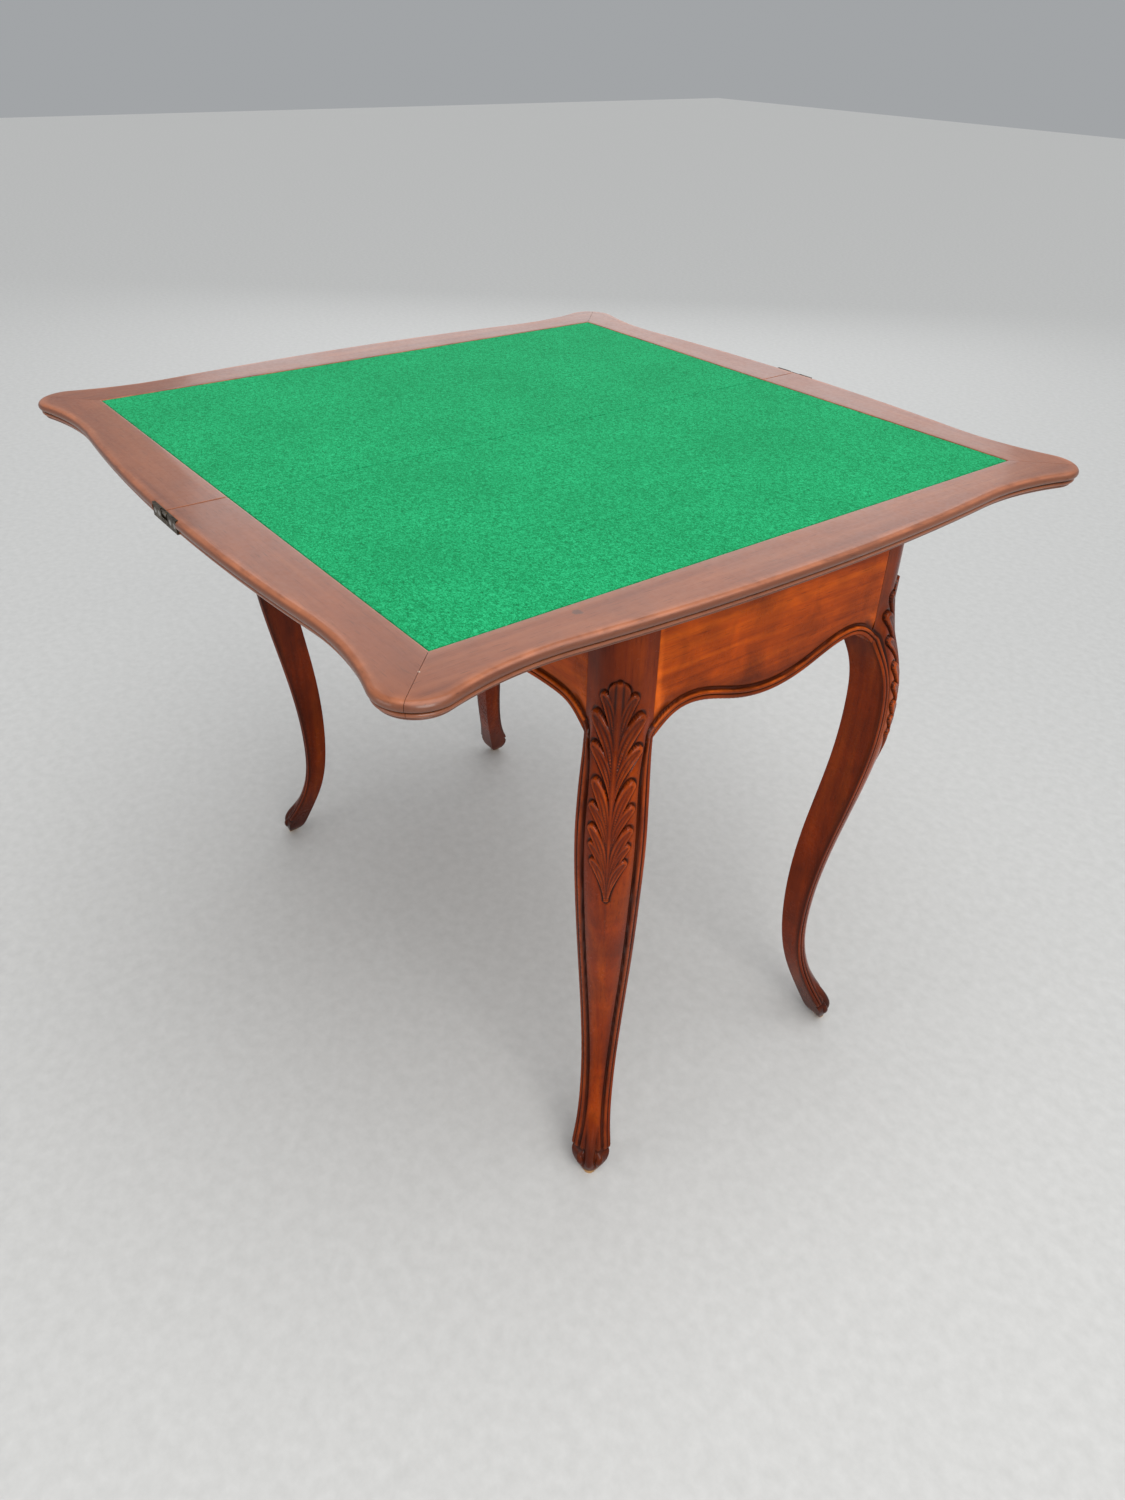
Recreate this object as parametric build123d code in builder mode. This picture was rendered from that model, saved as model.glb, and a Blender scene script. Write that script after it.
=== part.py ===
"""Louis XV style folding card table: a cabriole base with a swivelling, fold-over top.

Frame: millimetres, +Z up, origin on the floor under the middle of the open top.
X runs along the base's long axis, -Y is the front. The top stands open in its playing
position: the lower leaf fills +X, the flap fills -X, and the fold lies along Y at X = 0.
"""
import os
from math import asin, cos, degrees, radians, sin, sqrt

from build123d import *

os.makedirs("parts", exist_ok=True)

# ---------------------------------------------------------------- driving dimensions
table_height = 760.0
leaf_depth = 440.0                 # from the fold to the nose, half of the open square
leaf_thickness = 18.0
cloth_half = 375.0                 # half side of the open square of baize
cloth_thickness = 1.5
cloth_drop = 0.3                   # the nap lies this far below the wood
fold_gap = 0.5                     # each leaf stops this far from the fold line

block_x = 397.0                    # leg block and apron faces, from the middle
block_y = 200.0
block_width = 44.0                 # leg blocks are square at the top
frame_top = 740.0
glide_thickness = 1.6

apron_thickness = 20.0
apron_drop = 606.0                 # lowest point of the serpentine lower edge
apron_arch = 630.0                 # highest point of it
apron_spring = 609.0               # where it springs from the leg blocks
moulding_height = 11.0
moulding_proud = 2.5

pivot_at = (leaf_depth / 4, leaf_depth / 4)
pivot_radius = 6.0
pivot_fit = 0.05                   # radial running clearance of the pivot bolt
gap = 0.3                          # between faces that pass each other
beyond = 500.0                     # far enough to cut right through the table

# ---------------------------------------------------------------- derived heights
leaf_under = table_height - leaf_thickness
cloth_top = table_height - cloth_drop
cloth_under = cloth_top - cloth_thickness
fold_height = table_height + 0.2
inner_x = block_x - block_width
inner_y = block_y - block_width
apron_back_x = block_x - apron_thickness
apron_back_y = block_y - apron_thickness


def finish(part, name):
    """Label one finished piece and write its file."""
    part.label = name
    export_step(part, "parts/" + name + ".step")


def slab(x, y, z, mode=Mode.ADD):
    """A box between two values on each axis."""
    with Locations(((x[0] + x[1]) / 2, (y[0] + y[1]) / 2, (z[0] + z[1]) / 2)):
        Box(x[1] - x[0], y[1] - y[0], z[1] - z[0], mode=mode)


def bar(at, radius, z, mode=Mode.ADD):
    """A round bar that stands at (x, y) between two heights."""
    with Locations((at[0], at[1], z[0])):
        Cylinder(radius, z[1] - z[0], align=(Align.CENTER, Align.CENTER, Align.MIN), mode=mode)


screw_play = 0.05                  # a screw's hole is this much wider all round
screw_tip = 0.5                    # and this much deeper


def screws(planes, size, mode=Mode.ADD):
    """Countersunk screws of one (length, shank radius, head radius); subtracted, their holes.

    Each has its head in the plane and its shank behind it."""
    length, shank, head = size
    head_depth = head - shank
    if mode == Mode.SUBTRACT:
        length += screw_tip
        shank += screw_play
        head += screw_play
    for plane in planes:
        with BuildSketch(Plane(origin=plane.origin, x_dir=plane.x_dir, z_dir=plane.y_dir)) as half:
            with BuildLine():
                Polyline((0, 0), (head, 0), (shank, head_depth), (shank, length), (0, length), close=True)
            make_face()
        revolve(half.sketch, axis=Axis(plane.origin, -plane.z_dir), mode=mode)


# ================================================================ base: legs
# Sawn cabriole outline: height, then the front and the back of the leg from the block face.
leg_stations = [
    (0, 8, -11),
    (24, 22, -13),
    (50, 10, -21),
    (100, -9, -35),
    (185, -16, -46),
    (320, -3, -43),
    (440, 15, -31),
    (525, 19.5, -28),
    (580, 13, -34),
    (apron_spring, 7, -block_width),
]
block_bottom = 650.0               # the front of the block is upright from here
corner_cant = 0.45                 # of the leg's width, cut off its outer corner
tenon_length = 18.0
tenon_span = (650.0, 725.0)
tenon_outer = 6.0                  # from the apron's face to the tenon
tenon_thickness = 8.0


def leg_outline(plane, face, fronts, backs):
    """One side of a leg, drawn on a plane whose local y is up."""
    top_front = (face + fronts[-1][0], frame_top)
    top_back = (face + backs[-1][0], frame_top)
    with BuildSketch(plane) as outline:
        with BuildLine():
            front = Spline([(face + out, z) for out, z in fronts])
            Polyline(front @ 1, top_front, top_back, (face + backs[-1][0], backs[-1][1]))
            back = Spline([(face + out, z) for out, z in backs])
            Line(back @ 0, front @ 0)
        make_face()
    return outline.sketch


def end_tenons(mode=Mode.ADD):
    """Tenons of the end apron at +X, into the two legs beside it."""
    x = (block_x - tenon_outer - tenon_thickness, block_x - tenon_outer)
    for y in ((inner_y, inner_y + tenon_length), (-inner_y - tenon_length, -inner_y)):
        slab(x, y, tenon_span, mode=mode)


def long_tenons(mode=Mode.ADD):
    """Tenons of the long apron at +Y."""
    y = (block_y - tenon_outer - tenon_thickness, block_y - tenon_outer)
    for x in ((inner_x, inner_x + tenon_length), (-inner_x - tenon_length, -inner_x)):
        slab(x, y, tenon_span, mode=mode)


block_station = (block_bottom, 0, -block_width)
front_points = [(front, z) for z, front, back in leg_stations + [block_station]]
back_points = [(back, z) for z, front, back in leg_stations]
cant_points = [(sqrt(2) * front - corner_cant * (front - back) / sqrt(2), z)
               for z, front, back in leg_stations + [block_station]]
far_points = [(-4 * block_width, z) for z in (0, apron_spring / 2, apron_spring)]
corner_plane = Plane(origin=(block_x, block_y, 0), x_dir=(1, 1, 0), z_dir=(1, -1, 0))

# A corner block behind the leg, with its screw through the middle of its slanting face.
brace_reach = 46.0                 # how far the block runs along each apron
brace_span = (690.0, 734.0)
brace_size = (44.5, 2.45, 4.4)
leg_corner = Vector(inner_x, inner_y, sum(brace_span) / 2)
outward = Vector(1, 1, 0).normalized()
brace_face = leg_corner - outward * (brace_reach - (block_width - apron_thickness)) / sqrt(2)
brace_screw = Plane(origin=brace_face, x_dir=(0, 0, 1), z_dir=-outward)

with BuildPart() as leg:
    extrude(leg_outline(Plane.XZ, block_x, front_points, back_points), amount=beyond, both=True)
    extrude(leg_outline(Plane.YZ, block_y, front_points, back_points), amount=beyond, both=True,
            mode=Mode.INTERSECT)
    extrude(leg_outline(corner_plane, 0, cant_points, far_points), amount=beyond, both=True,
            mode=Mode.INTERSECT)
    end_tenons(mode=Mode.SUBTRACT)
    long_tenons(mode=Mode.SUBTRACT)
    screws([brace_screw], brace_size, mode=Mode.SUBTRACT)

with BuildPart() as leg_left:
    mirror(leg.part, about=Plane.YZ)
with BuildPart() as leg_front_right:
    mirror(leg.part, about=Plane.XZ)
with BuildPart() as leg_front_left:
    mirror(leg_left.part, about=Plane.XZ)
finish(leg.part, "leg_back_right")
finish(leg_left.part, "leg_back_left")
finish(leg_front_right.part, "leg_front_right")
finish(leg_front_left.part, "leg_front_left")

# ================================================================ base: aprons
arch_run = 47.0                    # from the leg block to the crown of the arch
haunch = (0.4 * arch_run, 6.0)     # the arch's shoulder: along from the block, below the crown
swell = (0.47, 8.0)                # the middle drop's flank: share of the way out, above the drop


def serpentine(half, lift=0.0):
    """Lower edge of an apron: two arches and a middle drop, between two leg blocks."""
    crown = half - arch_run
    side = [(half, apron_spring), (half - haunch[0], apron_arch - haunch[1]), (crown, apron_arch),
            (crown * swell[0], apron_drop + swell[1])]
    left = [(-at, z + lift) for at, z in side]
    right = [(at, z + lift) for at, z in reversed(side)]
    return left + [(0, apron_drop + lift)] + right


def apron_outline(plane, half):
    """An apron's face, between two leg blocks."""
    with BuildSketch(plane) as outline:
        with BuildLine():
            edge = Spline(serpentine(half))
            Polyline(edge @ 1, (half, frame_top), (-half, frame_top), edge @ 0)
        make_face()
    return outline.sketch


def moulding_outline(plane, half):
    """The moulded band that follows an apron's lower edge."""
    with BuildSketch(plane) as outline:
        with BuildLine():
            low = Spline(serpentine(half))
            high = Spline(serpentine(half, moulding_height))
            Line(low @ 0, high @ 0)
            Line(low @ 1, high @ 1)
        make_face()
    return outline.sketch


with BuildPart() as end_apron:
    extrude(apron_outline(Plane.YZ.offset(apron_back_x), inner_y), amount=apron_thickness)
    extrude(moulding_outline(Plane.YZ.offset(block_x), inner_y), amount=moulding_proud)
    end_tenons()
with BuildPart() as end_apron_left:
    mirror(end_apron.part, about=Plane.YZ)
finish(end_apron.part, "end_apron_right")
finish(end_apron_left.part, "end_apron_left")

with BuildPart() as long_apron:
    extrude(apron_outline(Plane.XZ.offset(-block_y), inner_x), amount=apron_thickness)
    extrude(moulding_outline(Plane.XZ.offset(-block_y - moulding_proud), inner_x), amount=moulding_proud)
    long_tenons()
with BuildPart() as long_apron_front:
    mirror(long_apron.part, about=Plane.XZ)
finish(long_apron.part, "long_apron_back")
finish(long_apron_front.part, "long_apron_front")

# ================================================================ base: corner blocks
with BuildPart() as corner_block:
    with BuildSketch(Plane.XY.offset(brace_span[0])):
        with BuildLine():
            Polyline((apron_back_x, inner_y - brace_reach), (apron_back_x, inner_y),
                     (inner_x, inner_y), (inner_x, apron_back_y),
                     (inner_x - brace_reach, apron_back_y), close=True)
        make_face()
    extrude(amount=brace_span[1] - brace_span[0])
    screws([brace_screw], brace_size, mode=Mode.SUBTRACT)
with BuildPart() as corner_block_left:
    mirror(corner_block.part, about=Plane.YZ)
with BuildPart() as corner_block_front_right:
    mirror(corner_block.part, about=Plane.XZ)
with BuildPart() as corner_block_front_left:
    mirror(corner_block_left.part, about=Plane.XZ)
finish(corner_block.part, "corner_block_back_right")
finish(corner_block_left.part, "corner_block_back_left")
finish(corner_block_front_right.part, "corner_block_front_right")
finish(corner_block_front_left.part, "corner_block_front_left")

with BuildPart() as corner_screws:
    screws([brace_screw], brace_size)
    mirror(about=Plane.YZ)
    mirror(about=Plane.XZ)
finish(corner_screws.part, "corner_block_screws")

# ================================================================ base: pivot board and well
board_x = (15.0, 205.0)
board_z = (718.0, 738.0)
cleat_depth = 20.0
stop_radius = 60.0                 # the stop peg's distance from the pivot
peg_radius = 4.0
stop_play = 0.4
cleat_screw_size = (34.5, 1.95, 3.9)
cleat_screw_x = (50.0, 170.0)
cleat_screw_y = apron_back_y - cleat_depth / 2
cleat_screws = [Plane(origin=(x, y, board_z[0] - cleat_depth), x_dir=(1, 0, 0), z_dir=(0, 0, -1))
                for x in cleat_screw_x for y in (-cleat_screw_y, cleat_screw_y)]
bush_radius = 9.0
bush_flange_radius = 16.0

with BuildPart() as pivot_board:
    slab(board_x, (-apron_back_y, apron_back_y), board_z)
    bar(pivot_at, bush_radius, board_z, mode=Mode.SUBTRACT)
    with BuildSketch(Plane.XY.offset(board_z[0])):
        stop_arc = CenterArc(pivot_at, stop_radius, -135, 90, mode=Mode.PRIVATE)
        SlotArc(stop_arc, 2 * (peg_radius + stop_play))
    extrude(amount=board_z[1] - board_z[0], mode=Mode.SUBTRACT)
    screws(cleat_screws, cleat_screw_size, mode=Mode.SUBTRACT)
finish(pivot_board.part, "pivot_board")

with BuildPart() as cleat:
    slab(board_x, (apron_back_y - cleat_depth, apron_back_y), (board_z[0] - cleat_depth, board_z[0]))
    screws(cleat_screws, cleat_screw_size, mode=Mode.SUBTRACT)
with BuildPart() as cleat_front:
    mirror(cleat.part, about=Plane.XZ)
finish(cleat.part, "pivot_cleat_back")
finish(cleat_front.part, "pivot_cleat_front")

with BuildPart() as cleat_screw_set:
    screws(cleat_screws, cleat_screw_size)
finish(cleat_screw_set.part, "pivot_cleat_screws")

with BuildPart() as pivot_bush:
    bar(pivot_at, bush_radius, board_z)
    bar(pivot_at, bush_flange_radius, (board_z[1], leaf_under - gap))
    bar(pivot_at, pivot_radius + pivot_fit, (board_z[0], leaf_under), mode=Mode.SUBTRACT)
finish(pivot_bush.part, "pivot_bush")

floor_z = (646.0, 652.0)
batten = 12.0
with BuildPart() as floor_batten:
    slab((-inner_x, inner_x), (apron_back_y - batten, apron_back_y), (floor_z[0] - batten, floor_z[0]))
with BuildPart() as floor_batten_front:
    mirror(floor_batten.part, about=Plane.XZ)
finish(floor_batten.part, "well_batten_back")
finish(floor_batten_front.part, "well_batten_front")

with BuildPart() as well_floor:
    slab((-apron_back_x, apron_back_x), (-inner_y, inner_y), floor_z)
    slab((-inner_x, inner_x), (-apron_back_y, apron_back_y), floor_z)
finish(well_floor.part, "well_floor")

glide_half = 5.0
glide_z = (frame_top, frame_top + glide_thickness)
with BuildPart() as glides:
    for side in (-1, 1):
        middle = side * (block_x - apron_thickness / 2)
        slab((middle - glide_half, middle + glide_half), (-inner_y, inner_y), glide_z)
        middle = side * (block_y - apron_thickness / 2)
        slab((-inner_x, inner_x), (middle - glide_half, middle + glide_half), glide_z)
finish(glides.part, "glide_strips")

# ================================================================ top: border rails
valley = 425.0                     # serpentine outer edge: distance of its hollows
valley_at = 300.0                  # and where along the side they lie
corner_radius = 38.0
nose_height = 10.0
nose_round = 4.5
bead_set_back = 3.5
bead_round = 2.5
tongue = 8.0
tongue_z = (748.0, 753.0)
leaf_z = (leaf_under - 1, table_height + 1)

# Each half side is three tangent arcs: a long bulge, a hollow and the rounded corner.
corner_centre = leaf_depth - corner_radius
dip = leaf_depth - valley
radii_sum = (valley_at ** 2 + dip ** 2) / (2 * dip)
corner_run = corner_centre - valley_at
corner_rise = valley - corner_centre
hollow_radius = ((corner_run ** 2 + corner_rise ** 2 - corner_radius ** 2)
                 / (2 * (corner_radius - corner_rise)))
bulge_radius = radii_sum - hollow_radius
bulge_turn = degrees(asin(valley_at / radii_sum))
flare = degrees(asin(corner_run / (hollow_radius + corner_radius)))


def leaf_outline(height):
    """The lower leaf's whole plan outline, from the fold line to the serpentine edge."""
    with BuildSketch(Plane.XY.offset(height)) as outline:
        with BuildLine():
            side = CenterArc((0, leaf_depth - bulge_radius), bulge_radius, 90, -bulge_turn)
            hollow_turn = bulge_turn + flare
            CenterArc((valley_at, valley + hollow_radius), hollow_radius, 270 - bulge_turn, hollow_turn)
            CenterArc((corner_centre, corner_centre), corner_radius, 90 + flare, -90 - 2 * flare)
            CenterArc((valley + hollow_radius, valley_at), hollow_radius, 180 - flare, hollow_turn)
            front = CenterArc((leaf_depth - bulge_radius, 0), bulge_radius, bulge_turn, -bulge_turn)
            Polyline(front @ 1, (0, 0), side @ 0)
        make_face()
        mirror(about=Plane.XZ)
    return outline.sketch


hinge_length = 30.0
hinge_z = (746.0, table_height - 0.2)
hinge_y = (leaf_depth - 4.0, leaf_depth - 1.0)
hinge_screw_x = (14.0, 24.0)
hinge_screw_size = (19.5, 1.35, 2.8)
hinge_screws = [Plane(origin=(x, hinge_y[1], sum(hinge_z) / 2), x_dir=(1, 0, 0), z_dir=(0, 1, 0))
                for x in hinge_screw_x]


def border_edges(part_edges):
    """The serpentine edges of a leaf: everything that isn't at the fold."""
    return [edge for edge in part_edges if edge.center().X > 1]


with BuildPart() as border:
    extrude(leaf_outline(table_height - nose_height), amount=nose_height)
    rims = border_edges(edges().group_by(Axis.Z)[-1] + edges().group_by(Axis.Z)[0])
    fillet(rims, nose_round)
    with BuildSketch(Plane.XY.offset(leaf_under)):
        add(leaf_outline(leaf_under))
        offset(amount=-bead_set_back, kind=Kind.INTERSECTION)
        # The set-back also draws in the fold's side, and this fills it out again.
        with Locations((bead_set_back, 0)):
            Rectangle(2 * bead_set_back, 2 * (leaf_depth - bead_set_back) - 0.1)
    extrude(amount=leaf_thickness - nose_height)
    fillet(border_edges(edges().group_by(Axis.Z)[0]), bead_round)
    slab((-fold_gap, fold_gap), (-beyond, beyond), leaf_z, mode=Mode.SUBTRACT)
    slab((0, cloth_half), (-cloth_half, cloth_half), leaf_z, mode=Mode.SUBTRACT)
    slab((0, cloth_half + tongue), (-cloth_half - tongue, cloth_half + tongue), tongue_z, mode=Mode.SUBTRACT)
    for side in (-1, 1):
        ends = sorted((side * hinge_y[0], side * beyond))
        slab((0, hinge_length), ends, (hinge_z[0], leaf_z[1]), mode=Mode.SUBTRACT)
    screws(hinge_screws, hinge_screw_size, mode=Mode.SUBTRACT)

# The border is cut into three rails along the mitres at its corners.
front_share = [(cloth_half, cloth_half), (beyond, beyond), (beyond, -beyond), (cloth_half, -cloth_half)]
with BuildPart() as front_rail:
    add(border.part)
    with BuildSketch(Plane.XY.offset(leaf_z[0])):
        Polygon(*front_share, align=None)
    extrude(amount=leaf_z[1] - leaf_z[0], mode=Mode.INTERSECT)

side_share = [(0, cloth_half), (cloth_half, cloth_half), (beyond, beyond), (0, beyond)]
with BuildPart() as side_rail:
    add(border.part)
    with BuildSketch(Plane.XY.offset(leaf_z[0])):
        Polygon(*side_share, align=None)
    extrude(amount=leaf_z[1] - leaf_z[0], mode=Mode.INTERSECT)
with BuildPart() as side_rail_front:
    mirror(side_rail.part, about=Plane.XZ)

# ================================================================ top: panel, lipping and cloth
lipping_width = 12.0
plate_radius = 35.0
plate_thickness = 3.0
plate_top = leaf_under + plate_thickness
plate_screw_circle = 25.0
plate_screw_size = (12.5, 1.75, 3.7)
bolt_head_radius = 11.0
bolt_top = plate_top + 4.0
peg_top = leaf_under + 10.0


def around_pivot(radius, angle):
    """A point on a circle about the pivot."""
    return (pivot_at[0] + radius * cos(radians(angle)), pivot_at[1] + radius * sin(radians(angle)))


peg_at = around_pivot(stop_radius, -45)
plate_screws = [Plane(origin=(*around_pivot(plate_screw_circle, angle), leaf_under),
                      x_dir=(1, 0, 0), z_dir=(0, 0, -1)) for angle in (0, 90, 180, 270)]

panel_start = fold_gap + lipping_width
with BuildPart() as plain_panel:
    slab((panel_start, cloth_half), (-cloth_half, cloth_half), (leaf_under, cloth_under))
    slab((panel_start, cloth_half + tongue), (-cloth_half - tongue, cloth_half + tongue), tongue_z)

with BuildPart() as lower_panel:
    add(plain_panel.part)
    bar(pivot_at, plate_radius, (leaf_under, plate_top), mode=Mode.SUBTRACT)
    bar(pivot_at, bolt_head_radius, (leaf_under, bolt_top), mode=Mode.SUBTRACT)
    bar(peg_at, peg_radius, (leaf_under, peg_top), mode=Mode.SUBTRACT)
    screws(plate_screws, plate_screw_size, mode=Mode.SUBTRACT)

with BuildPart() as lipping:
    slab((fold_gap, fold_gap + lipping_width), (-cloth_half, cloth_half), (leaf_under, cloth_under))
with BuildPart() as cloth:
    slab((fold_gap, cloth_half), (-cloth_half, cloth_half), (cloth_under, cloth_top))

finish(lower_panel.part, "lower_leaf_panel")
finish(lipping.part, "lower_leaf_lipping")
finish(front_rail.part, "lower_leaf_front_rail")
finish(side_rail.part, "lower_leaf_side_rail_back")
finish(side_rail_front.part, "lower_leaf_side_rail_front")
finish(cloth.part, "lower_leaf_baize")

with BuildPart() as flap_panel:
    mirror(plain_panel.part, about=Plane.YZ)
with BuildPart() as flap_lipping:
    mirror(lipping.part, about=Plane.YZ)
with BuildPart() as flap_front_rail:
    mirror(front_rail.part, about=Plane.YZ)
with BuildPart() as flap_side_rail:
    mirror(side_rail.part, about=Plane.YZ)
with BuildPart() as flap_side_rail_front:
    mirror(side_rail_front.part, about=Plane.YZ)
with BuildPart() as flap_cloth:
    mirror(cloth.part, about=Plane.YZ)
finish(flap_panel.part, "flap_panel")
finish(flap_lipping.part, "flap_lipping")
finish(flap_front_rail.part, "flap_front_rail")
finish(flap_side_rail.part, "flap_side_rail_back")
finish(flap_side_rail_front.part, "flap_side_rail_front")
finish(flap_cloth.part, "flap_baize")

# ================================================================ top: pivot hardware
washer_radius = 15.0
washer_top = board_z[0] - gap
washer_under = washer_top - 3.0
nut_radius = 10.0
nut_under = washer_under - 9.0
bolt_end = nut_under - 4.0
peg_end = board_z[0] + 3.0
chamfer_size = 0.8

with BuildPart() as pivot_plate:
    bar(pivot_at, plate_radius, (leaf_under, plate_top))
    bar(pivot_at, pivot_radius, (leaf_under, plate_top), mode=Mode.SUBTRACT)
    screws(plate_screws, plate_screw_size, mode=Mode.SUBTRACT)
finish(pivot_plate.part, "pivot_plate")

with BuildPart() as pivot_plate_screws:
    screws(plate_screws, plate_screw_size)
finish(pivot_plate_screws.part, "pivot_plate_screws")

with BuildPart() as pivot_bolt:
    bar(pivot_at, pivot_radius, (bolt_end, plate_top))
    bar(pivot_at, bolt_head_radius, (plate_top, bolt_top))
    chamfer(edges().group_by(Axis.Z)[0], chamfer_size)
finish(pivot_bolt.part, "pivot_bolt")

with BuildPart() as pivot_washer:
    bar(pivot_at, washer_radius, (washer_under, washer_top))
    bar(pivot_at, pivot_radius, (washer_under, washer_top), mode=Mode.SUBTRACT)
finish(pivot_washer.part, "pivot_washer")

with BuildPart() as pivot_nut:
    with BuildSketch(Plane.XY.offset(nut_under)):
        with Locations(pivot_at):
            RegularPolygon(nut_radius, 6)
            Circle(pivot_radius, mode=Mode.SUBTRACT)
    extrude(amount=washer_under - nut_under)
finish(pivot_nut.part, "pivot_nut")

with BuildPart() as stop_peg:
    bar(peg_at, peg_radius, (peg_end, peg_top))
    chamfer(edges().group_by(Axis.Z)[0], chamfer_size)
finish(stop_peg.part, "stop_peg")

# ================================================================ top: card-table hinges
pin_offset = 3.0                   # each pin, across and down from the fold axis
pin_radius = 1.1
pin_fit = 0.05
link_thickness = 1.5
link_end = 2.2
pocket = 8.4                       # square pocket for the link, from the fold
pocket_depth = 1.8
link_play = 0.1
pin_height = fold_height - pin_offset
pocket_y = hinge_y[1] - pocket_depth
link_y = (pocket_y + link_play, pocket_y + link_play + link_thickness)
slot_near = 2 * pin_offset
slot_far = 2 * pin_offset * sqrt(2)


def across(radius, x, z, y, mode=Mode.ADD):
    """A round bar along Y."""
    with BuildSketch(Plane.XZ.offset(-y[0])) as disc:
        with Locations((x, z)):
            Circle(radius)
    extrude(disc.sketch, amount=-(y[1] - y[0]), mode=mode)


with BuildPart() as hinge_plate:
    slab((fold_gap, hinge_length), hinge_y, hinge_z)
    slab((0, pocket), (pocket_y, beyond), (table_height - pocket, leaf_z[1]), mode=Mode.SUBTRACT)
    across(pin_radius, pin_offset, pin_height, (hinge_y[0], pocket_y), mode=Mode.SUBTRACT)
    screws(hinge_screws, hinge_screw_size, mode=Mode.SUBTRACT)
with BuildPart() as hinge_plate_front:
    mirror(hinge_plate.part, about=Plane.XZ)
with BuildPart() as flap_plate:
    mirror(hinge_plate.part, about=Plane.YZ)
with BuildPart() as flap_plate_front:
    mirror(hinge_plate_front.part, about=Plane.YZ)
finish(hinge_plate.part, "hinge_plate_lower_back")
finish(hinge_plate_front.part, "hinge_plate_lower_front")
finish(flap_plate.part, "hinge_plate_flap_back")
finish(flap_plate_front.part, "hinge_plate_flap_front")

with BuildPart() as hinge_pins:
    across(pin_radius, pin_offset, pin_height, (hinge_y[0], link_y[1] - pin_fit))
    mirror(about=Plane.XZ)
with BuildPart() as flap_pins:
    mirror(hinge_pins.part, about=Plane.YZ)
finish(hinge_pins.part, "hinge_pins_lower")
finish(flap_pins.part, "hinge_pins_flap")

with BuildPart() as hinge_screw_set:
    screws(hinge_screws, hinge_screw_size)
    mirror(about=Plane.XZ)
with BuildPart() as flap_screw_set:
    mirror(hinge_screw_set.part, about=Plane.YZ)
finish(hinge_screw_set.part, "hinge_screws_lower")
finish(flap_screw_set.part, "hinge_screws_flap")

with BuildPart() as link:
    with BuildSketch(Plane.XZ.offset(-link_y[0])):
        with Locations((pin_offset - slot_far / 2, pin_height)):
            SlotCenterToCenter(slot_far, 2 * link_end)
        with Locations((pin_offset, pin_height)):
            Circle(pin_radius + pin_fit, mode=Mode.SUBTRACT)
        with Locations((pin_offset - (slot_near + slot_far) / 2, pin_height)):
            SlotCenterToCenter(slot_far - slot_near, 2 * (pin_radius + pin_fit), mode=Mode.SUBTRACT)
    extrude(amount=-link_thickness)
with BuildPart() as link_front:
    mirror(link.part, about=Plane.XZ)
finish(link.part, "hinge_link_back")
finish(link_front.part, "hinge_link_front")
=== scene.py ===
"""Looks of the Louis XV folding card table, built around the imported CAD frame. Metres."""

from math import asin, cos, pi, radians, sin

import bmesh
import bpy
import numpy as np
from mathutils import Matrix, Vector


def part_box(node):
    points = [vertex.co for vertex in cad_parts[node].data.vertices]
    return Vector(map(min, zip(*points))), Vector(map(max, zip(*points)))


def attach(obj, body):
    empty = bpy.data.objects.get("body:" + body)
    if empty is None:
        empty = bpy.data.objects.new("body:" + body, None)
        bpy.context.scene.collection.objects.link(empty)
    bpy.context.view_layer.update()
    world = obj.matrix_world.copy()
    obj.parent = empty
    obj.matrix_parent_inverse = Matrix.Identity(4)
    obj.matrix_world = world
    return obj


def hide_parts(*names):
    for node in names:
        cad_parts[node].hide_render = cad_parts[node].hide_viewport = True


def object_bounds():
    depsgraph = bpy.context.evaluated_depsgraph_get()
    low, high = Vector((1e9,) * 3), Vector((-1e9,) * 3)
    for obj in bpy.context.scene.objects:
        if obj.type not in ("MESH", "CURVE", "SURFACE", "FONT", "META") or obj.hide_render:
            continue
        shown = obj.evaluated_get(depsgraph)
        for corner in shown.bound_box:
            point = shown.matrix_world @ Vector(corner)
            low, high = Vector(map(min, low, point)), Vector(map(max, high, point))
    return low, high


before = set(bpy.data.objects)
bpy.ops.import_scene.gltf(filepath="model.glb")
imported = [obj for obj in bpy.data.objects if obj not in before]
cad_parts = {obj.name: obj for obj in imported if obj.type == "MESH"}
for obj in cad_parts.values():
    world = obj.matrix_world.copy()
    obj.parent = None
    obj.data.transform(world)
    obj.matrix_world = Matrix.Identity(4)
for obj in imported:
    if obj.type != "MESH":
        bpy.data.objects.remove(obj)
cad_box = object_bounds()

MM = 0.001                          # metres in a millimetre
MERGE = 0.00002                     # points of one piece closer than this are joined, metres
SLIVER = 0.00001                    # faces thinner than this are dropped, metres

# ---------------------------------------------------------------- sizes read from the frame, millimetres


def box_mm(node):
    """The low and the high corner of a CAD node's box."""
    low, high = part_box(node)
    return np.array(low) / MM, np.array(high) / MM


rail_low, _ = box_mm("lower_leaf_front_rail")
cloth_low, cloth_high = box_mm("lower_leaf_baize")
end_low, end_high = box_mm("end_apron_right")
_, long_high = box_mm("long_apron_back")
plate_low, plate_high = box_mm("hinge_plate_lower_back")
_, leg_high = box_mm("leg_back_right")

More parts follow.
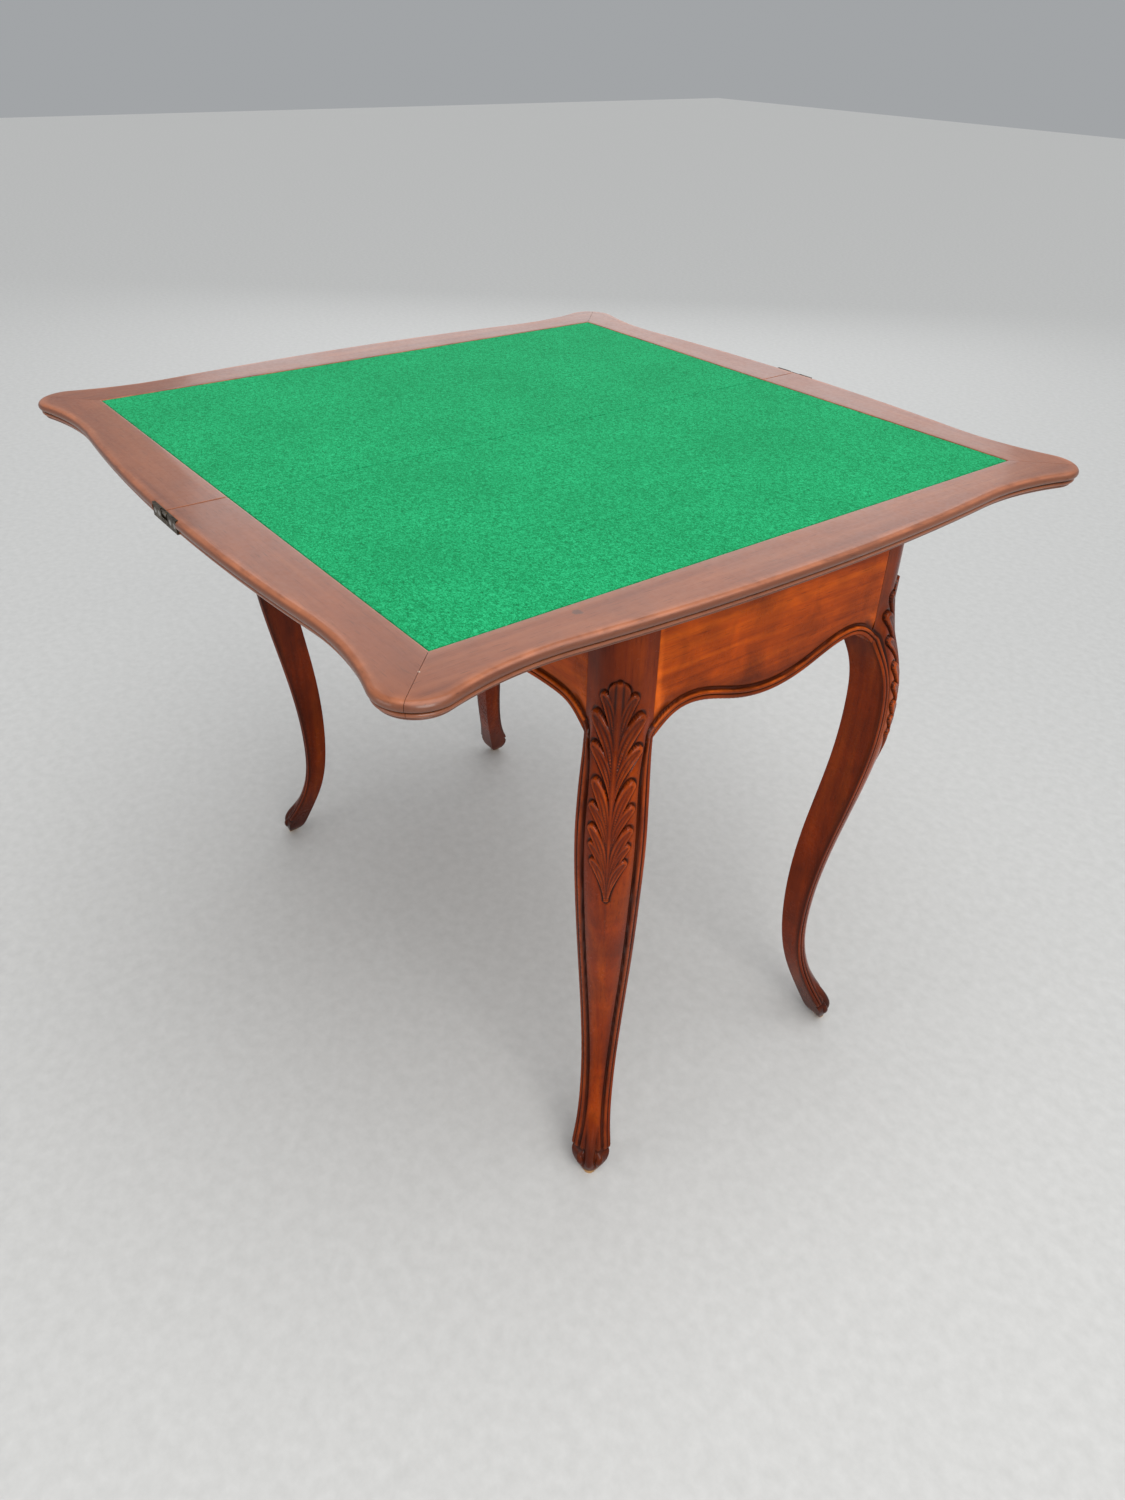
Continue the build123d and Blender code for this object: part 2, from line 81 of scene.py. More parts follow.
TABLE_TOP = cad_box[1].z / MM
LEAF = TABLE_TOP - rail_low[2]      # a leaf's thickness
CLOTH_HALF = cloth_high[0]
CLOTH_TOP = cloth_high[2]
CLOTH_UNDER = cloth_low[2]
FOLD_GAP = cloth_low[0]             # from the fold line to each leaf's edge
FRAME_TOP = leg_high[2]
APRON_PROUD = 2.5                   # the moulding stands this far off the apron's face
BLOCK_X = end_high[0] - APRON_PROUD
BLOCK_Y = long_high[1] - APRON_PROUD
APRON_THICK = 20.0
APRON_DROP = end_low[2]
BLOCK_WIDTH = 44.0
INNER_X = BLOCK_X - BLOCK_WIDTH
INNER_Y = BLOCK_Y - BLOCK_WIDTH

# ---------------------------------------------------------------- small mesh tools


def spline(stations, values):
    """A natural cubic spline through given stations, as a function."""
    x, y = np.array(stations, float), np.array(values, float)
    h = np.diff(x)
    count = len(x)
    system, right = np.eye(count), np.zeros(count)
    for k in range(1, count - 1):
        system[k, k - 1:k + 2] = h[k - 1], 2 * (h[k - 1] + h[k]), h[k]
        right[k] = 6 * ((y[k + 1] - y[k]) / h[k] - (y[k] - y[k - 1]) / h[k - 1])
    bend = np.linalg.solve(system, right)

    def value(at):
        at = np.asarray(at, float)
        k = np.clip(np.searchsorted(x, at) - 1, 0, count - 2)
        left, over = at - x[k], x[k + 1] - at
        curve = (bend[k] * over ** 3 + bend[k + 1] * left ** 3) / (6 * h[k])
        line = ((y[k] / h[k] - bend[k] * h[k] / 6) * over
                + (y[k + 1] / h[k] - bend[k + 1] * h[k] / 6) * left)
        return curve + line

    return value


def ramp(value, low, high):
    """Smooth step from 0 at low to 1 at high."""
    t = np.clip((np.asarray(value, float) - low) / (high - low), 0, 1)
    return t * t * (3 - 2 * t)


def blur(grid, reach):
    """Box blur of a grid, for telling its hollows from its ridges."""
    out = grid
    for axis in (0, 1):
        pad = [(reach, reach) if k == axis else (0, 0) for k in (0, 1)]
        wide = np.pad(out, pad, mode="edge")
        total = np.zeros_like(out)
        for shift in range(2 * reach + 1):
            total += np.take(wide, range(shift, shift + out.shape[axis]), axis=axis)
        out = total / (2 * reach + 1)
    return out


def spread(start, stop, step):
    """Even values from start to stop, about a step apart."""
    return np.linspace(start, stop, max(2, int(round(abs(stop - start) / step)) + 1))


def tube_mesh(name, points, fields, crease):
    """A mesh from a grid of loops, each row one closed loop, capped at both ends."""
    rows, cols = points.shape[:2]
    index = np.arange(rows * cols).reshape(rows, cols)
    after = np.roll(index, -1, axis=1)
    quads = np.stack([index[:-1], after[:-1], after[1:], index[1:]], -1).reshape(-1, 4)
    faces = quads.tolist() + [index[0][::-1].tolist(), index[-1].tolist()]
    return piece(name, points.reshape(-1, 3), faces, fields, crease)


def piece(name, points, faces, fields, crease):
    """An object from points in millimetres and faces, cleaned, with its shading fields.

    Edges sharper than the crease angle, in degrees, stay sharp."""
    mesh = bpy.data.meshes.new(name)
    mesh.from_pydata((points * MM).tolist(), [], faces)
    for field, values in fields.items():
        layer = mesh.attributes.new(field, "FLOAT", "POINT")
        layer.data.foreach_set("value", np.asarray(values, np.float32).ravel())
    tidy = bmesh.new()
    tidy.from_mesh(mesh)
    bmesh.ops.remove_doubles(tidy, verts=tidy.verts, dist=MERGE)
    bmesh.ops.dissolve_degenerate(tidy, edges=tidy.edges, dist=SLIVER)
    big = [face for face in tidy.faces if len(face.verts) > 4]
    bmesh.ops.triangulate(tidy, faces=big)
    bmesh.ops.recalc_face_normals(tidy, faces=tidy.faces)
    tidy.to_mesh(mesh)
    tidy.free()
    mesh.shade_smooth()
    mesh.set_sharp_from_angle(angle=radians(crease))
    obj = bpy.data.objects.new(name, mesh)
    bpy.context.scene.collection.objects.link(obj)
    return obj


def mirrored(obj, name, axis):
    """A mirrored copy of a piece, with its faces turned the right way round."""
    flip = [1, 1, 1]
    flip[axis] = -1
    copy = bpy.data.objects.new(name, obj.data.copy())
    copy.data.transform(Matrix.Diagonal((*flip, 1)))
    copy.data.flip_normals()
    bpy.context.scene.collection.objects.link(copy)
    return copy


# ---------------------------------------------------------------- shader tools


class Shader:
    """A material with short names for the few nodes that it is made of."""

    def __init__(self, name):
        self.material = bpy.data.materials.new(name)
        self.material.use_nodes = True
        self.tree = self.material.node_tree
        self.surface = self.tree.nodes["Principled BSDF"]
        self.place = self.tree.nodes.new("ShaderNodeTexCoord").outputs["Object"]

    def link(self, value, socket):
        """Feed a socket from another socket, or set it to a plain value."""
        if isinstance(value, bpy.types.NodeSocket):
            self.tree.links.new(value, socket)
        else:
            socket.default_value = value

    def scaled(self, scale, rotation=(0, 0, 0)):
        """Object coordinates, scaled and turned."""
        node = self.tree.nodes.new("ShaderNodeMapping")
        self.link(self.place, node.inputs["Vector"])
        node.inputs["Scale"].default_value = scale
        node.inputs["Rotation"].default_value = rotation
        return node.outputs["Vector"]

    def noise(self, where, scale, detail=4.0, rough=0.5, twist=0.0):
        node = self.tree.nodes.new("ShaderNodeTexNoise")
        self.link(where, node.inputs["Vector"])
        node.inputs["Scale"].default_value = scale
        node.inputs["Detail"].default_value = detail
        node.inputs["Roughness"].default_value = rough
        node.inputs["Distortion"].default_value = twist
        return node.outputs["Fac"]

    def field(self, name):
        """One of the mesh's own shading fields; it is 0 where the mesh has none."""
        node = self.tree.nodes.new("ShaderNodeAttribute")
        node.attribute_name = name
        return node.outputs["Fac"]

    def math(self, kind, a, b=0.0, clamp=False):
        node = self.tree.nodes.new("ShaderNodeMath")
        node.operation = kind
        node.use_clamp = clamp
        self.link(a, node.inputs[0])
        self.link(b, node.inputs[1])
        return node.outputs[0]

    def blend(self, a, share_a, b, share_b):
        """The sum of two values by their shares."""
        return self.math("ADD", self.math("MULTIPLY", a, share_a), self.math("MULTIPLY", b, share_b))

    def distance(self, place):
        """Distance from a fixed place on the object, in metres."""
        node = self.tree.nodes.new("ShaderNodeVectorMath")
        node.operation = "DISTANCE"
        self.link(self.place, node.inputs[0])
        node.inputs[1].default_value = place
        return node.outputs["Value"]

    def span(self, value, low, high, new_low=0.0, new_high=1.0):
        """The value carried over from one range to another, and held at its ends."""
        node = self.tree.nodes.new("ShaderNodeMapRange")
        self.link(value, node.inputs["Value"])
        limits = {"From Min": low, "From Max": high, "To Min": new_low, "To Max": new_high}
        for socket, number in limits.items():
            self.link(number, node.inputs[socket])
        return node.outputs["Result"]

    def colours(self, value, stops):
        """A colour ramp over the value."""
        node = self.tree.nodes.new("ShaderNodeValToRGB")
        self.link(value, node.inputs["Fac"])
        while len(node.color_ramp.elements) < len(stops):
            node.color_ramp.elements.new(0.5)
        for element, (at, colour) in zip(node.color_ramp.elements, stops):
            element.position = at
            element.color = (*colour, 1)
        return node.outputs["Color"]

    def mix(self, factor, a, b, kind="MIX"):
        node = self.tree.nodes.new("ShaderNodeMix")
        node.data_type = "RGBA"
        node.blend_type = kind
        self.link(factor, node.inputs[0])
        self.link(a if isinstance(a, bpy.types.NodeSocket) else (*a, 1), node.inputs[6])
        self.link(b if isinstance(b, bpy.types.NodeSocket) else (*b, 1), node.inputs[7])
        return node.outputs[2]

    def bump(self, height, distance, strength=1.0, under=None):
        node = self.tree.nodes.new("ShaderNodeBump")
        self.link(height, node.inputs["Height"])
        node.inputs["Distance"].default_value = distance
        node.inputs["Strength"].default_value = strength
        if under is not None:
            self.link(under, node.inputs["Normal"])
        return node.outputs["Normal"]

    def set(self, **sockets):
        """Fill the surface shader's sockets, named with _ for each space."""
        for name, value in sockets.items():
            self.link(value, self.surface.inputs[name.replace("_", " ")])


def grain_scale(along, across, lengthwise):
    """Noise scale of a grain that runs along one axis."""
    return tuple(lengthwise if axis == along else across for axis in "XYZ")


# Near-black mixed in by the hollow field: painted shade in hollows, grooves and creases, and real dark
# joints.
HOLLOW_STAIN_AND_SHADE = (0.012, 0.0045, 0.0035)
BARE_WOOD = (0.46, 0.26, 0.11)      # worn through at the toes
SOFT_POLISH = (0.08, 0.06)          # specular level and coat


def stained_wood(name, along, light, middle, dark, gloss, mottle, seed=0.0, polish_and_sheen=SOFT_POLISH, marks=()):
    """Stained and waxed beech: streaked grain, flecks, clouded staining, painted shade with dark joints in
    the hollows, arrises lightened by wear and a painted highlight.

    Marks are small knocks: a place in metres, a radius and a colour."""
    s = Shader(name)
    streaks = grain_scale(along, 55.0, 2.6)
    broad = tuple(v * 0.22 for v in streaks)
    streak_place = s.scaled(streaks, rotation=(0.02, 0.015, 0.01))
    grain = s.noise(streak_place, 1.0 + seed, detail=7, rough=0.62, twist=0.55)
    figure = s.noise(s.scaled(broad), 1.3 + seed, detail=3, rough=0.5, twist=1.2)
    fleck = s.noise(s.scaled(grain_scale(along, 900.0, 45.0)), 1.0, detail=2, rough=0.5)
    wear = s.noise(s.place, 180.0, detail=4, rough=0.7)
    cloud = s.noise(s.place, 7.0 + seed, detail=3, rough=0.55, twist=0.3)
    blotch = s.noise(s.place, 26.0 + seed, detail=4, rough=0.6, twist=0.6)
    tone = s.blend(grain, 0.55, figure, 0.45)
    base = s.colours(tone, [(0.32, dark), (0.50, middle), (0.70, light)])
    # The ramp from black to twice white turns half the shade back into a grey factor.
    shade = s.span(s.blend(cloud, 0.62, blotch, 0.38), 0.34, 0.66, 1.0 - mottle, 1.0 + mottle * 0.45)
    grey = s.colours(s.math("MULTIPLY", shade, 0.5), [(0, (0, 0, 0)), (1, (2, 2, 2))])
    base = s.mix(1.0, base, grey, "MULTIPLY")
    pores = s.span(fleck, 0.60, 0.74, 0.0, 0.55)
    base = s.mix(pores, base, tuple(v * 0.28 for v in dark))
    # Painted shade: the hollow field darkens hollows, grooves and creases, and real dark joints too.
    hollow = s.math("MULTIPLY", s.field("hollow"), s.span(blotch, 0.3, 0.7, 0.75, 1.0))
    base = s.mix(hollow, base, HOLLOW_STAIN_AND_SHADE)
    # This field lightens arrises and ridges: partly wear, partly a painted highlight.
    rubbed_and_highlit = s.math("MULTIPLY", s.field("rubbed_and_highlit"), s.span(blotch, 0.35, 0.65, 0.15, 1.0))
    base = s.mix(s.math("MULTIPLY", rubbed_and_highlit, 0.6), base, tuple(min(1, v * 1.5 + 0.01) for v in light))
    for place, radius, colour in marks:
        near = s.math("ADD", s.math("MULTIPLY", wear, radius * 1.6), s.distance(place))
        base = s.mix(s.span(near, radius * 1.5, radius * 1.8, 0.85, 0.0), base, colour)
    base = s.mix(s.field("bare"), base, BARE_WOOD)
    rough = s.span(s.blend(cloud, 0.5, wear, 0.5), 0.35, 0.65, gloss - 0.06, gloss + 0.12)
    rough = s.math("ADD", rough, s.math("MULTIPLY", s.field("hollow"), 0.14))
    rough = s.math("ADD", rough, s.math("MULTIPLY", s.field("bare"), 0.30), clamp=True)
    low = s.bump(grain, 0.00022, 0.55)
    s.set(Base_Color=base, Roughness=rough, Normal=s.bump(fleck, 0.00006, 0.5, under=low),
          Coat_Weight=polish_and_sheen[1], Coat_Roughness=0.12, Specular_IOR_Level=polish_and_sheen[0])
    return s.material


# Reddish brown stain. The top is greyer, pinker and glossier than the base.
TOP_TONES = dict(light=(0.360, 0.118, 0.046), middle=(0.275, 0.080, 0.030), dark=(0.185, 0.048, 0.018))
LEG_TONES = dict(light=(0.390, 0.060, 0.001), middle=(0.235, 0.026, 0.000), dark=(0.105, 0.010, 0.000))
APRON_TONES = dict(light=(0.620, 0.108, 0.001), middle=(0.400, 0.054, 0.000), dark=(0.170, 0.018, 0.000))
# A pale scuff by the near mitre, and a dark smudge on the near rail: place in metres, radius, colour.
TOP_MARKS = (((0.3975, -0.3970, 0.760), 0.0013, (0.62, 0.48, 0.38)),
             ((0.389, -0.2436, 0.760), 0.0050, (0.12, 0.05, 0.03)))
TOP_POLISH = (0.5, 0.35)
LEG_POLISH = (0.10, 0.10)
top_x = stained_wood("top_wood_along_x", "X", gloss=0.34, mottle=0.20, polish_and_sheen=TOP_POLISH,
                     marks=TOP_MARKS[:1], **TOP_TONES)
top_y = stained_wood("top_wood_along_y", "Y", gloss=0.34, mottle=0.20, seed=0.3, polish_and_sheen=TOP_POLISH,
                     marks=TOP_MARKS, **TOP_TONES)
leg_wood = stained_wood("leg_wood_upright", "Z", gloss=0.20, mottle=0.50, polish_and_sheen=LEG_POLISH, **LEG_TONES)
apron_x = stained_wood("apron_wood_along_x", "X", gloss=0.28, mottle=0.60, seed=0.2, **APRON_TONES)
apron_y = stained_wood("apron_wood_along_y", "Y", gloss=0.28, mottle=0.60, seed=0.5, **APRON_TONES)


def plain_wood(name, along, light, dark):
    """Unfinished inner wood: pale, dry and dull."""
    s = Shader(name)
    grain = s.noise(s.scaled(grain_scale(along, 70.0, 3.0)), 1.0, detail=6, rough=0.6, twist=0.5)
    grime = s.noise(s.place, 9.0, detail=4, rough=0.6)
    base = s.colours(grain, [(0.3, dark), (0.72, light)])
    base = s.mix(s.span(grime, 0.45, 0.75, 0.0, 0.45), base, tuple(v * 0.45 for v in dark))
    s.set(Base_Color=base, Roughness=s.span(grain, 0.3, 0.7, 0.62, 0.82), Normal=s.bump(grain, 0.0003, 0.6),
          Specular_IOR_Level=0.3)
    return s.material


INNER_TONES = ((0.42, 0.25, 0.13), (0.27, 0.14, 0.06))
inner_x = plain_wood("inner_wood_along_x", "X", *INNER_TONES)
inner_y = plain_wood("inner_wood_along_y", "Y", *INNER_TONES)
under_wood = plain_wood("leaf_underside_wood", "Y", (0.22, 0.095, 0.045), (0.12, 0.045, 0.02))


def metal(name, colour, tarnish, rough):
    """Old metal with brown tarnish in patches and fine handling scratches."""
    s = Shader(name)
    patch = s.noise(s.place, 140.0, detail=6, rough=0.65, twist=0.4)
    scratch = s.noise(s.scaled((1400.0, 1400.0, 160.0)), 1.0, detail=2)
    base = s.mix(s.span(patch, 0.42, 0.66, 0.0, 0.9), colour, tarnish)
    s.set(Base_Color=base, Metallic=1.0, Roughness=s.span(patch, 0.3, 0.7, rough - 0.08, rough + 0.2),
          Normal=s.bump(scratch, 0.00003, 0.5))
    return s.material


brass = metal("aged_brass", (0.105, 0.080, 0.052), (0.030, 0.023, 0.017), 0.42)
steel = metal("zinc_steel", (0.36, 0.35, 0.33), (0.15, 0.11, 0.08), 0.42)


def baize(name, deep, middle, bright):
    """Woollen baize: matted fibres in light and dark tufts, with a soft bloom."""
    s = Shader(name)
    tuft = s.noise(s.place, 310.0, detail=4, rough=0.6, twist=1.2)
    strand_place = s.scaled((520.0, 1150.0, 900.0), rotation=(0, 0, 0.5))
    strand = s.noise(strand_place, 1.0, detail=3, rough=0.6, twist=0.7)
    thread_place = s.scaled((1500.0, 620.0, 900.0), rotation=(0, 0, 0.9))
    thread = s.noise(thread_place, 1.0, detail=2, rough=0.6, twist=0.5)
    cloud = s.noise(s.place, 9.0, detail=3, rough=0.5)
    mat = s.blend(tuft, 0.5, strand, 0.5)
    base = s.colours(mat, [(0.39, deep), (0.50, middle), (0.61, bright)])
    base = s.mix(s.span(thread, 0.60, 0.74, 0.0, 0.5), base, tuple(min(1, v * 1.5 + 0.01) for v in bright))
    base = s.mix(s.span(cloud, 0.35, 0.7, 0.0, 0.22), base, deep)
    # Painted shade along the cloth's edges, from its hollow field.
    base = s.mix(s.math("MULTIPLY", s.field("hollow"), 0.75), base, tuple(v * 0.3 for v in deep))
    fuzz = s.blend(strand, 0.6, thread, 0.4)
    s.set(Base_Color=base, Roughness=0.95, Specular_IOR_Level=0.08, Sheen_Weight=0.10, Sheen_Roughness=0.5,
          Sheen_Tint=(0.3, 0.9, 0.5, 1), Normal=s.bump(fuzz, 0.0006, 0.7, under=s.bump(tuft, 0.0005, 0.5)))
    return s.material


green_cloth = baize("green_baize", (0.002, 0.150, 0.045), (0.006, 0.330, 0.112), (0.032, 0.540, 0.225))
glide_cloth = baize("glide_felt", (0.004, 0.060, 0.022), (0.008, 0.10, 0.04), (0.02, 0.16, 0.07))

# ---------------------------------------------------------------- shared outlines, millimetres
SPRING = 609.0                      # the apron's arch springs from the leg block here
ARCH = 630.0                        # the top of that arch
ARCH_RUN = 47.0                     # how far from the block the arch's top is
BLOCK_FOOT = 650.0                  # the leg block's faces are flat from here up
LINE_STEP = 0.4                     # between the points of a traced edge
# The leg's outline: how far its outer and its inner line stand out from the block's corner, by height.
REACH_HEIGHTS = (0, 7, 24, 50, 100, 185, 320, 440, 525, 580, SPRING)
outer_reach = spline((*REACH_HEIGHTS, BLOCK_FOOT), (14, 16.5, 20, 9.5, -9, -16, -3, 15, 19.5, 13, 7, 0))
inner_reach = spline(REACH_HEIGHTS, (5, -2, -11, -20, -35, -46, -43, -31, -28, -34, -BLOCK_WIDTH))


def outer_at(z):
    """The leg's outer line."""
    return np.where(z < BLOCK_FOOT, outer_reach(np.minimum(z, BLOCK_FOOT)), 0.0)


def inner_at(z):
    """The leg's inner line."""
    return np.where(z < SPRING, inner_reach(np.minimum(z, SPRING)), -BLOCK_WIDTH)


def serpentine(half):
    """Height of an apron's lower edge along its length."""
    crown = half - ARCH_RUN
    at = (0, crown * 0.47, crown, half - ARCH_RUN * 0.4, half)
    heights = (APRON_DROP, APRON_DROP + 8, ARCH, ARCH - 6, SPRING)
    both = [-a for a in reversed(at[1:])] + list(at)
    return spline(both, list(reversed(heights[1:])) + list(heights))


def edge_line(half):
    """The sawn lower edge seen on one face: up the leg, over the arch and along the apron.

    Distances run outwards from the leg block's face, so the apron lies at negative ones."""
    up = spread(0, SPRING, LINE_STEP)
    leg = np.stack([inner_at(up), up], 1)
    along = spread(half, 0, LINE_STEP)
    apron = np.stack([along - half - BLOCK_WIDTH, serpentine(half)(along)], 1)
    return np.concatenate([leg, apron[1:]])


def distance_to(line, across, height):
    """Distance of every grid point from a line of points, worked out in parts to save memory."""
    flat = np.stack([across.ravel(), height.ravel()], 1)
    best = np.full(len(flat), np.inf)
    for part in np.array_split(line, max(1, len(line) // 100)):
        gaps = flat[:, None, :] - part[None, :, :]
        best = np.minimum(best, np.sqrt((gaps ** 2).sum(-1)).min(1))
    return best.reshape(across.shape)


OUTER_BEAD = (2.5, 2.5, 1.7)        # each bead: where its middle is, half its width and its height
INNER_BEAD = (7.0, 2.1, 1.8)
GROOVE = 4.95                       # the fine line between the two beads
LEDGE = 8.9                         # the beads' ground ends here, and a channel follows
CHANNEL = 10.6                      # the channel's deepest line


def double_bead(d):
    """Height of the double bead that follows the lower edge, by distance from it."""
    def bead(middle, half, high):
        return high * np.sqrt(np.clip(1 - ((d - middle) / half) ** 2, 0, 1))
    body = 0.9 * (1 - ramp(d, LEDGE, 9.6))
    channel = -1.4 * ramp(d, LEDGE, 9.7) * (1 - ramp(d, 11.0, 13.8))
    groove = 0.7 * np.exp(-((d - GROOVE) / 0.35) ** 2)
    return body + bead(*OUTER_BEAD) + bead(*INNER_BEAD) - groove + channel


def painted_bead_shade(d):
    """Painted shade in and beside the double bead: dark lines in its groove and channel, a darker moulding,
    and a wide shaded strip beside it.
    """
    lines = 0.9 * np.exp(-((d - GROOVE) / 0.95) ** 2) + 0.95 * np.exp(-((d - CHANNEL) / 1.9) ** 2)
    return 0.28 * (1 - ramp(d, 10, 13)) + lines + 0.5 * ramp(d, 9, 11) * (1 - ramp(d, 11, 20))


def hollows(height, reach, strength):
    """Painted shade that lies in the hollows of a grid, and a painted highlight, partly standing for wear,
    on its ridges.
    """
    rise = height - blur(height, reach)
    return np.clip(-rise * strength, 0, 1), np.clip(rise * strength - 0.15, 0, 1)


# ---------------------------------------------------------------- knee carving
CARVE_TOP = 675.0
CARVE_TIP = 431.0
CARVE_HEAD = 11.0                   # height of the round head on top of the stem
NO_RELIEF = -9.0                    # stands for "outside this part of the carving"
# Each leaflet: the height where it leaves the stem, how far out and how high up its tip is, half its width,
# and its relief.
LEAFLETS = [
    (598, 13.5, 658, 5.2, 2.8),
    (572, 21.0, 636, 7.0, 3.5),
    (556, 20.5, 607, 5.8, 3.0),
    (508, 16.5, 575, 5.8, 3.3),
    (496, 18.5, 551, 5.0, 2.8),
    (460, 17.5, 527, 5.5, 3.2),
    (450, 17.0, 508, 4.6, 2.8),
    (435, 14.5, 488, 5.0, 3.0),
]


def leaflet(u, z, root, tip_u, tip_z, width, high):
    """One curled leaflet of the acanthus: its relief, and the distance outside it."""
    t = np.linspace(0, 1, 28)
    p0, p1, p2 = (1.2, root), (3.2, root + 0.72 * (tip_z - root)), (tip_u, tip_z)
    line = np.stack([(1 - t) ** 2 * p0[k] + 2 * t * (1 - t) * p1[k] + t ** 2 * p2[k] for k in (0, 1)], 1)
    d = np.sqrt((u[..., None] - line[:, 0]) ** 2 + (z[..., None] - line[:, 1]) ** 2)
    k = d.argmin(-1)
    near, at = np.take_along_axis(d, k[..., None], -1)[..., 0], t[k]
    reach = width * (0.30 + 0.70 * ramp(at, 0.0, 0.75)) * (1 - 0.12 * ramp(at, 0.9, 1.0))
    q = near / reach
    dome = np.sqrt(np.clip(1 - q ** 2, 0, 1))
    body = high * (0.35 + 0.65 * at ** 1.3) * dome ** 0.7
    veins = 0.55 * np.cos(q * pi * 2.6) * np.clip(4 * at * (1 - at), 0, 1) ** 0.5
    scoop = -1.5 * np.exp(-(q / 0.42) ** 2) * ramp(at, 0.4, 0.88)
    return np.where(q < 1, 1.3 * body + veins * dome + scoop, NO_RELIEF), near - reach


def acanthus(u, z):
    """Relief of the knee's acanthus leaf and the painted shade around it.

    u is the distance across the corner, from the middle of the leg's rounded outer edge."""
    side = np.abs(u)
    half = np.interp(z, (CARVE_TIP, 480, 560, 632, 655, 666), (0.8, 1.9, 3.1, 4.6, 9.0, 9.8))
    into_head = np.maximum(z - (CARVE_TOP - CARVE_HEAD), 0) / CARVE_HEAD
    half = half * np.sqrt(np.clip(1 - into_head ** 2, 0, 1))
    q = side / np.maximum(half, 0.05)
    stem_high = np.interp(z, (CARVE_TIP, 470, 560, 660), (0.5, 1.7, 2.7, 3.4))
    on_stem = (q < 1) & (z > CARVE_TIP) & (z < CARVE_TOP)
    stem = np.where(on_stem, stem_high * (1 - 0.62 * q ** 1.3), NO_RELIEF)
    stem += np.where(on_stem, -1.1 * np.exp(-((side - 3.4) / 1.4) ** 2) * ramp(z, 636, 650), 0)
    outside = np.where(z > CARVE_TIP, side - half, np.hypot(side, CARVE_TIP - z))
    outside = np.where(z > CARVE_TOP, np.hypot(side, z - CARVE_TOP), outside)
    relief = stem
    for spec in LEAFLETS:
        h, away = leaflet(side, z, *spec)
        relief = np.maximum(relief, h)
        outside = np.minimum(outside, away)
    ground = -1.3 * np.exp(-(np.maximum(outside, 0) / 2.0) ** 2)
    relief = np.where(relief > -5, np.maximum(relief, 0.25), ground)
    return relief, np.exp(-(np.maximum(outside, 0) / 1.9) ** 2) * (outside > -0.3)


# ---------------------------------------------------------------- legs
ROUND_SHARE = 0.70                  # the outer corner's radius, as a share of the leg's width
FLAT_STEPS, TURN_STEPS, BACK_STEPS = 26, 88, 6      # faces along a section's flats, corner and back
TOE_TOP = 80.0                      # the carved toe ends below this height
JOIN_FOOT = 530.0                   # from here up the leg's sides fall back to the apron's face
# Height zones of a leg, each with its mesh step: toe, shank, knee with its carving, block.
LEG_ZONES = ((0, 60, 0.9), (60, 424, 3.6), (424, 684, 0.95), (684, FRAME_TOP, 6.0))
LEG_CREASE = 50


def section(z):
    """One horizontal section of a leg: a loop of places and normals, the run along it, the front's length.

    The block's outer corner is the origin, and both axes point outwards. The loop starts with the
    front, which carries the carving. Along the back the run is -1."""
    out, inn = float(outer_at(z)), float(inner_at(z))
    width = out - inn
    radius = ROUND_SHARE * width
    flat = spread(0, 1, 1 / FLAT_STEPS) * (width - radius)
    turn = spread(0, pi / 2, pi / 2 / TURN_STEPS)[1:-1]
    loop = [(out, inn + f, 1, 0) for f in flat]
    loop += [(out - radius + radius * cos(a), out - radius + radius * sin(a), cos(a), sin(a)) for a in turn]
    loop += [(inn + f, out, 0, 1) for f in flat[::-1]]
    back = spread(0, 1, 1 / BACK_STEPS)[1:-1] * width
    loop += [(inn, out - f, -1, 0) for f in back] + [(inn, inn, -0.7, -0.7)]
    loop += [(inn + f, inn, 0, -1) for f in back]
    loop = np.array(loop)
    front = 2 * len(flat) + len(turn)
    steps = np.hypot(*np.diff(loop[:front, :2], axis=0).T)
    run = np.full(len(loop), -1.0)
    run[:front] = np.concatenate([[0], np.cumsum(steps)])
    return loop, run, front


def foot_relief(u, z):
    """The toe: a nose down its middle, a scroll on each side, and hollows between them."""
    side = np.abs(u)
    nose = 2.8 * np.exp(-(u / 4.6) ** 2) * ramp(z, 5, 19) * (1 - ramp(z, 40, 78))
    cheek = -2.2 * np.exp(-((side - 7.4) / 2.1) ** 2) * ramp(z, 10, 18) * (1 - ramp(z, 44, 70))
    slant = z - 22.5 - 0.35 * (side - 12)
    scroll = 2.8 * np.sqrt(np.clip(1 - ((side - 12.6) / 5.2) ** 2 - (slant / 8.0) ** 2, 0, 1))
    under = -1.9 * np.exp(-((z - 34.5) / 2.4) ** 2) * ramp(side, 6, 9)
    return nose + cheek + scroll + under


